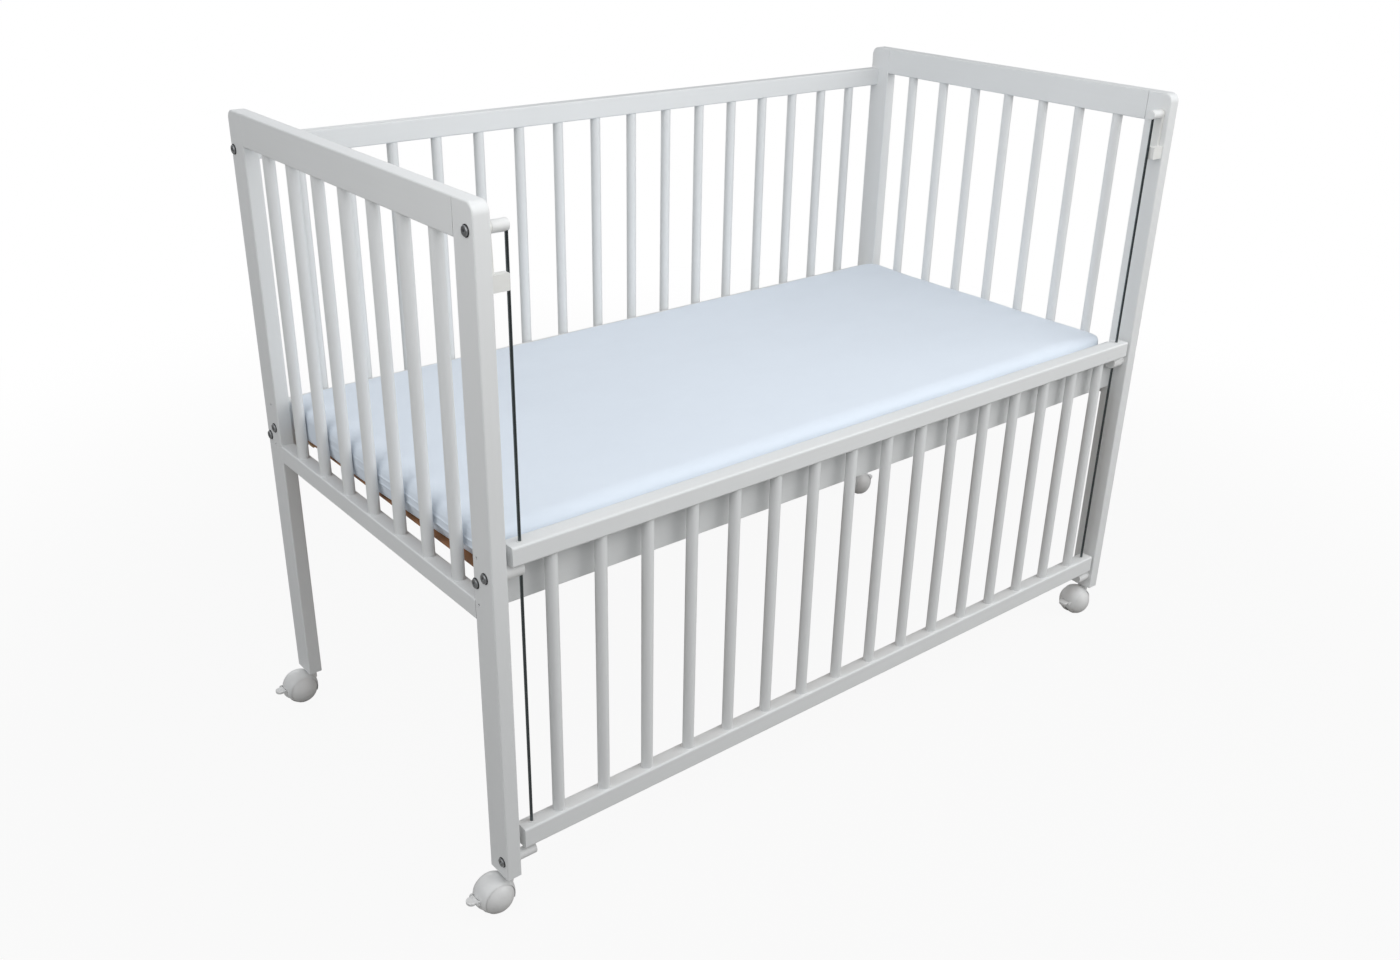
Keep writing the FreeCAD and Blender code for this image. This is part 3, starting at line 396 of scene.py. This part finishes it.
def shapeCover(shape, low, high, size):
    # crown, drawn-in sides, pipings, soft creases and the tucked corner
    middle = (low + high) / 2
    half = (high - low) / 2
    for vertex in shape.verts:
        across = (vertex.co.x - middle.x) / half.x
        along = (vertex.co.y - middle.y) / half.y
        rise = vertex.co.z - low.z
        flatX = max(0.0, 1 - across * across)
        flatY = max(0.0, 1 - along * along)
        top = min(1.0, max(0.0, (rise - size["crownFrom"]) / size["crownOver"]))
        broad = Vector((vertex.co.x * 9, vertex.co.y * 14, rise * 20))
        narrow = Vector((vertex.co.x * 31, vertex.co.y * 27, rise * 40))
        wrinkle = noise.noise(broad) * size["wrinkle"] + noise.noise(narrow) * size["crease"]
        crowned = size["crown"] * (flatX * flatY) ** size["crownPower"] - size["crown"]
        vertex.co.z += top * (crowned + wrinkle)
        outward = Vector((vertex.normal.x, vertex.normal.y, 0))
        side = min(1.0, outward.length)
        if side > 0.05:
            outward.normalize()
            drawn = size["pullIn"] * (flatY * abs(outward.x) + flatX * abs(outward.y))
            puff = 0
            for piping in (size["pipingLow"], size["pipingHigh"]):
                gap = (rise - piping) / size["pipingWide"]
                puff += size["pipingOut"] * math.exp(-gap * gap)
            puff += wrinkle * size["sideWrinkle"]
            puff += size["lowFill"] * max(0.0, 1 - rise / size["lowBand"])
            vertex.co += outward * side * (puff - drawn)
            # the lower edge of the left end is tucked back near the drop side
            if outward.x < -0.3:
                front = vertex.co.y - low.y
                reach = 1 - (front - size["tuckFront"]) / (size["tuckBack"] - size["tuckFront"])
                reach = min(1.0, max(0.0, reach)) ** 2
                lift = min(1.0, max(0.0, 1 - rise / size["tuckTall"]))
                tuck = size["tuckLong"] * reach * lift ** 0.7
                vertex.co.x += (tuck - size["overhang"] * (1 - reach)) * side
                vertex.co.z -= size["sag"] * (1 - reach) * lift
        # the long sides are held between the boards, and only the left end hangs over the base
        over = vertex.co.x < low.x
        floor = Vector((low.x - size["overhang"], low.y, low.z - (size["sag"] if over else 0)))
        for axis in range(3):
            vertex.co[axis] = max(floor[axis], min(high[axis], vertex.co[axis]))


mattress = buildMattress()
print("mattress made:", len(mattress.data.vertices), "vertices")


# studio: pale floor, white surroundings, four soft lamps
studio = {"floorHalf": 60.0, "floorTone": (0.32, 0.31, 0.295), "floorGlow": 0.93, "glowNear": 0.9,
          "glowFar": 2.3, "worldTone": (0.93, 0.96, 1.0), "worldLevel": 0.42,
          # name, place, aim, size in metres and power in watts
          "lamps": (("sideLamp", (1.75, -2.0, 1.9), (0.5, -0.2, 0.75), 2.4, 41.0),
                    ("backLamp", (0.0, 2.6, 1.1), (0.0, 0.2, 0.6), 2.2, 18.0),
                    ("insideLamp", (-0.2, -0.95, 1.6), (0.75, -0.2, 0.6), 1.6, 8.0),
                    ("endLamp", (-2.2, -0.3, 1.7), (-0.6, 0.0, 0.7), 2.0, 15.0))}


def buildStudio():
    shape = bmesh.new()
    bmesh.ops.create_grid(shape, x_segments=1, y_segments=1, size=studio["floorHalf"])
    mesh = bpy.data.meshes.new("studioFloor")
    shape.to_mesh(mesh)
    shape.free()
    recipe = Recipe("studioFloor")
    seen = recipe.node("ShaderNodeLightPath", {}, {}, "Is Camera Ray")
    floor = newPiece("studioFloor", mesh, recipe.material)
    recipe.finish(Base_Color=studio["floorTone"], Roughness=0.9)
    glow = recipe.node("ShaderNodeEmission", {}, {"Color": (1, 1, 1), "Strength": 1.0})
    away = step(recipe.node("ShaderNodeVectorMath", {"operation": "LENGTH"}, {0: recipe.place}, 1),
                studio["glowNear"], studio["glowFar"])
    both = recipe.node("ShaderNodeMixShader", {},
                       {0: seen * recipe.between(away, studio["floorGlow"], 1.0)})
    recipe.tree.links.new(recipe.shader.outputs[0], both.socket.node.inputs[1])
    recipe.tree.links.new(glow.socket, both.socket.node.inputs[2])
    recipe.tree.links.new(both.socket, recipe.tree.nodes["Material Output"].inputs[0])
    world = bpy.data.worlds.new("studioWorld")
    bpy.context.scene.world = world
    world.use_nodes = True
    tree = world.node_tree
    ground = tree.nodes["Background"]
    ground.inputs[0].default_value = (*studio["worldTone"], 1)
    ground.inputs[1].default_value = studio["worldLevel"]
    white = tree.nodes.new("ShaderNodeBackground")
    paths = tree.nodes.new("ShaderNodeLightPath")
    mix = tree.nodes.new("ShaderNodeMixShader")
    tree.links.new(paths.outputs["Is Camera Ray"], mix.inputs[0])
    tree.links.new(ground.outputs[0], mix.inputs[1])
    white.inputs[0].default_value = (1, 1, 1, 1)
    tree.links.new(white.outputs[0], mix.inputs[2])
    tree.links.new(mix.outputs[0], tree.nodes["World Output"].inputs[0])
    for name, spot, target, size, power in studio["lamps"]:
        lamp = bpy.data.lights.new(name, "AREA")
        lamp.size = size
        lamp.energy = power
        holder = bpy.data.objects.new(name, lamp)
        holder.location = spot
        aim = Vector(target) - Vector(spot)
        holder.rotation_euler = aim.to_track_quat("-Z", "Y").to_euler()
        bpy.context.scene.collection.objects.link(holder)


buildStudio()
print("studio lit")

# camera: fitted to the photograph, in metres and degrees
cameraFit = {"spot": (-1.27938, -1.46618, 1.24360), "yaw": 39.820, "pitch": 25.377, "roll": 1.294,
             "lens": 33.966}


def buildCamera():
    data = bpy.data.cameras.new("photoCamera")
    data.lens = cameraFit["lens"]
    data.sensor_width = 36.0
    data.clip_start = 0.05
    holder = bpy.data.objects.new("photoCamera", data)
    yaw, pitch, roll = (math.radians(cameraFit[key]) for key in ("yaw", "pitch", "roll"))
    turn = (Matrix.Rotation(-yaw, 4, "Z") @ Matrix.Rotation(math.pi / 2 - pitch, 4, "X")
            @ Matrix.Rotation(roll, 4, "Z"))
    holder.matrix_world = Matrix.Translation(cameraFit["spot"]) @ turn
    bpy.context.scene.collection.objects.link(holder)
    bpy.context.scene.camera = holder


buildCamera()
bpy.context.scene.view_settings.view_transform = "Standard"
